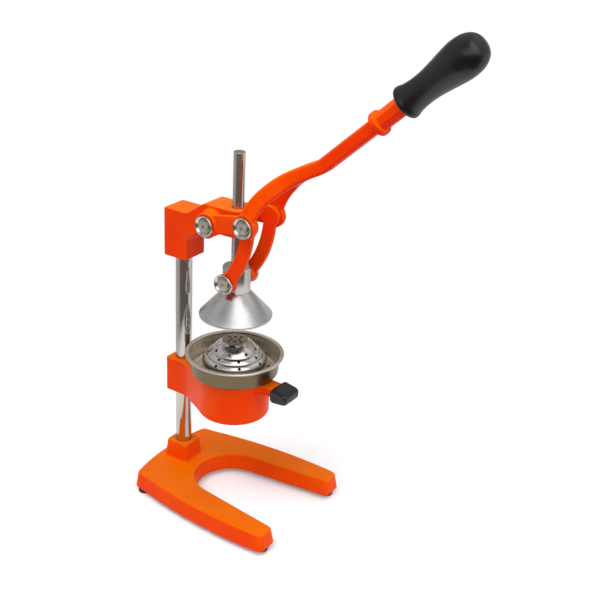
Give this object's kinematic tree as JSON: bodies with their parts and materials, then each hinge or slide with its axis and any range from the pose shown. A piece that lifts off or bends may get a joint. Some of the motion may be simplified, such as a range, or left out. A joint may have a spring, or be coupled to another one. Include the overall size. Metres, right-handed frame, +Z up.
{
  "type": "lever citrus juice press",
  "caption": "Cast horseshoe base and column carry a pan with a strainer dome; a forked hand lever and links drive a steel squeezing cone down its slide rod onto the fruit.",
  "frame": {"origin": "on the surface that the press stands on, under the middle of the whole press's box at rest", "axes": "+X towards the user, the open side of the base and the lever's grip; +Y to the left seen from behind the column; +Z up along the column"},
  "size_m": [0.439, 0.1936, 0.6867],
  "materials": {
    "enamel": "gloss orange stove enamel on castings",
    "chrome": "polished chrome plate",
    "stainless": "spun and polished stainless steel",
    "steel": "plain zinc-plated steel",
    "bronze": "plain bearing bronze",
    "rubber": "matt black",
    "black_plastic": "satin black"
  },
  "bodies": {
    "stand": {"base_casting": "enamel", "foot_1": "rubber", "foot_2": "rubber", "foot_3": "rubber", "foot_4": "rubber", "foot_screw_1": "steel", "foot_screw_2": "steel", "foot_screw_3": "steel", "foot_screw_4": "steel", "column_tube": "chrome", "column_plug": "steel", "column_bolt": "steel", "column_washer": "steel", "cup_holder": "enamel", "holder_grip": "black_plastic", "holder_set_screw": "steel", "juice_pan": "stainless", "strainer_dome": "stainless", "head_bracket": "enamel", "head_set_screw_1": "steel", "head_set_screw_2": "steel", "guide_bush": "bronze", "fulcrum_bolt_left": "chrome", "fulcrum_bolt_right": "chrome", "fulcrum_washer_left": "chrome", "fulcrum_washer_right": "chrome"},
    "hand_lever": {"lever": "enamel", "lever_grip": "black_plastic", "fulcrum_bush_left": "bronze", "fulcrum_bush_right": "bronze", "crank_bush_left": "bronze", "crank_bush_right": "bronze"},
    "press_slide": {"slide_rod": "chrome", "press_neck": "stainless", "press_cone": "stainless", "cone_screw": "steel", "cone_washer": "steel"},
    "links": {"link_left": "enamel", "link_right": "enamel", "crank_bolt_left": "chrome", "crank_bolt_right": "chrome", "crank_washer_left": "chrome", "crank_washer_right": "chrome", "press_bolt_left": "chrome", "press_bolt_right": "chrome", "press_washer_left": "chrome", "press_washer_right": "chrome", "press_bush_left": "bronze", "press_bush_right": "bronze"}
  },
  "joints": [
    {"name": "lever_hinge", "type": "hinge", "parent": "stand", "child": "hand_lever", "pos_m": [-0.12554, 0, 0.399], "axis": [0, 1, 0], "range_deg": [-10, 57.5]},
    {"name": "press_travel", "type": "slide", "parent": "stand", "child": "press_slide", "axis": [0, 0, 1], "range_m": [-0.0598, 0.0104]},
    {"name": "link_swing", "type": "hinge", "parent": "hand_lever", "child": "links", "pos_m": [-0.06754, 0, 0.4104], "axis": [0, 1, 0], "range_deg": [-67, 11.7]}
  ],
  "couplings": [
    {"joint": "press_travel", "follows": "lever_hinge", "m_per_rad": -0.059034},
    {"joint": "link_swing", "follows": "lever_hinge", "ratio": -1.1525}
  ]
}
